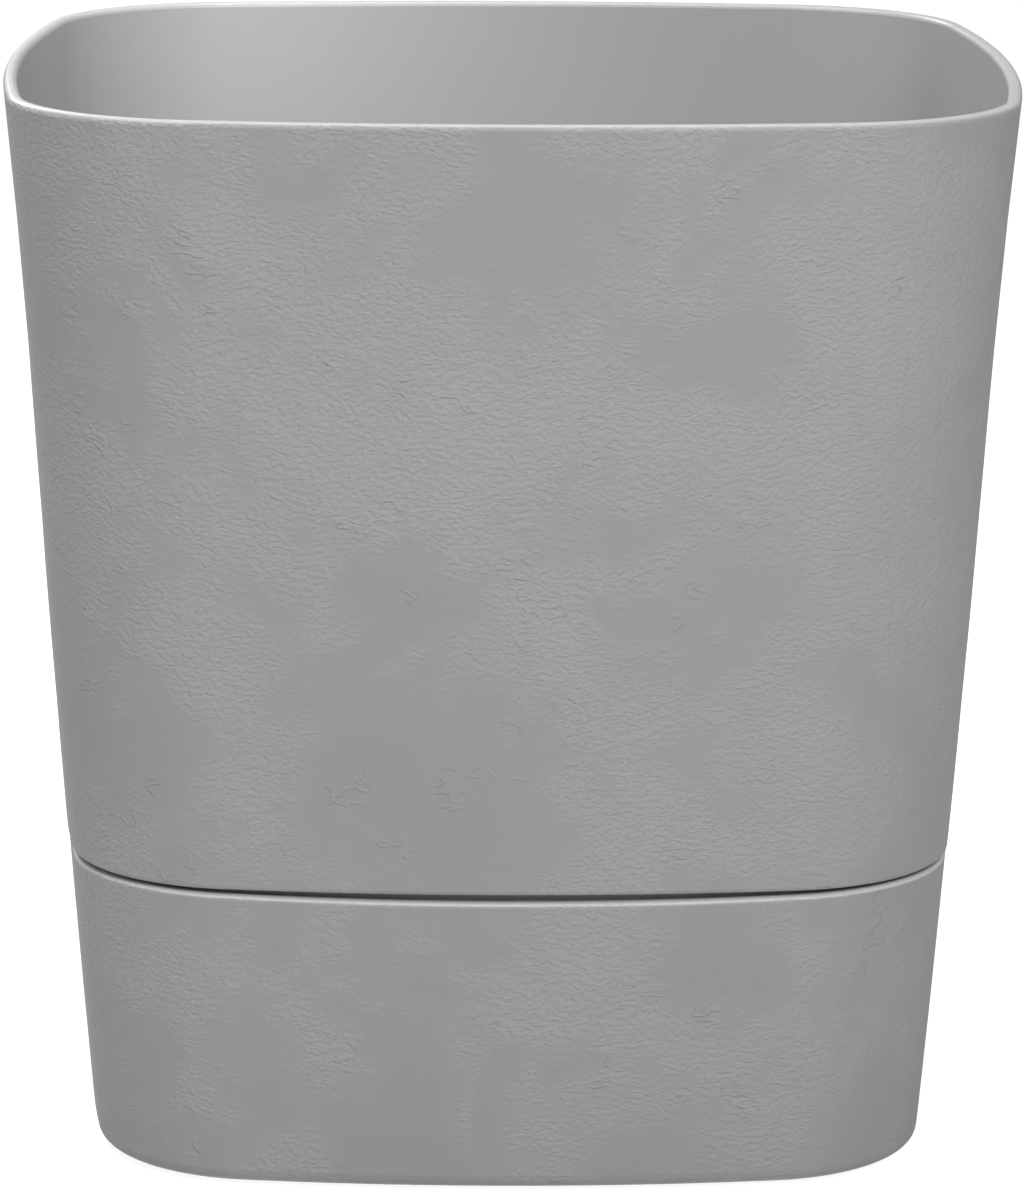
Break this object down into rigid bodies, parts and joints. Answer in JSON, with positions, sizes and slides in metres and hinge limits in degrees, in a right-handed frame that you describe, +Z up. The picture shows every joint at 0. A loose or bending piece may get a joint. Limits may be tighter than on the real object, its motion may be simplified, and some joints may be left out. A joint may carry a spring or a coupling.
{
  "type": "self watering planter",
  "caption": "Square tapered self-watering planter: soil pot nested on a water reservoir, with hanging wick cups, corner filler, float gauge, drain plug and overflow.",
  "frame": {"origin": "centre of the footprint on the floor", "axes": "+Z up, +X to the right and +Y to the back as seen by someone facing the front"},
  "size_m": [0.3816, 0.3816, 0.4],
  "materials": {
    "cast_look_shell": "light grey, concrete-like relief outside, smoother inside",
    "black_plastic": "fine moulded satin",
    "pin_steel": "drawn wire",
    "clear_plastic": "clear, polished",
    "float_foam": "closed-cell foam",
    "white_plastic": "smooth drawn rod",
    "marker_plastic": "glossy signal red",
    "wick_felt": "needled felt",
    "soft_rubber": "matte moulded rubber"
  },
  "bodies": {
    "reservoir": {"reservoir": "cast_look_shell", "overflow_spout": "black_plastic", "foot_pad_front_left": "soft_rubber", "foot_pad_front_right": "soft_rubber", "foot_pad_back_left": "soft_rubber", "foot_pad_back_right": "soft_rubber"},
    "planter": {"planter_body": "cast_look_shell", "fill_tube": "black_plastic", "fill_cap_pin": "pin_steel", "gauge_tube": "black_plastic", "sight_cap": "clear_plastic"},
    "fill_cap": {"fill_cap": "black_plastic"},
    "float": {"float": "float_foam", "float_rod": "white_plastic", "level_marker": "marker_plastic"},
    "drain_plug": {"drain_plug": "black_plastic", "drain_seal": "soft_rubber"},
    "wick_cup_front_left": {"wick_cup_front_left": "black_plastic", "wick_felt_front_left": "wick_felt"},
    "wick_cup_front_right": {"wick_cup_front_right": "black_plastic", "wick_felt_front_right": "wick_felt"},
    "wick_cup_back_left": {"wick_cup_back_left": "black_plastic", "wick_felt_back_left": "wick_felt"},
    "wick_cup_back_right": {"wick_cup_back_right": "black_plastic", "wick_felt_back_right": "wick_felt"}
  },
  "joints": [
    {"name": "planter_lift", "type": "slide", "parent": "reservoir", "child": "planter", "axis": [0, 0, 1], "range_m": [0, 0.15]},
    {"name": "fill_cap_hinge", "type": "hinge", "parent": "planter", "child": "fill_cap", "pos_m": [0.13925, -0.13925, 0.3775], "axis": [0.7071, 0.7071, 0], "range_deg": [0, 100]},
    {"name": "float_rise", "type": "slide", "parent": "planter", "child": "float", "axis": [0, 0, 1], "range_m": [0, 0.05]},
    {"name": "drain_plug_pull", "type": "slide", "parent": "reservoir", "child": "drain_plug", "axis": [0, 1, 0], "range_m": [0, 0.025]},
    {"name": "wick_cup_front_left_lift", "type": "slide", "parent": "planter", "child": "wick_cup_front_left", "axis": [0, 0, 1], "range_m": [0, 0.1]},
    {"name": "wick_cup_front_right_lift", "type": "slide", "parent": "planter", "child": "wick_cup_front_right", "axis": [0, 0, 1], "range_m": [0, 0.1]},
    {"name": "wick_cup_back_left_lift", "type": "slide", "parent": "planter", "child": "wick_cup_back_left", "axis": [0, 0, 1], "range_m": [0, 0.1]},
    {"name": "wick_cup_back_right_lift", "type": "slide", "parent": "planter", "child": "wick_cup_back_right", "axis": [0, 0, 1], "range_m": [0, 0.1]}
  ]
}
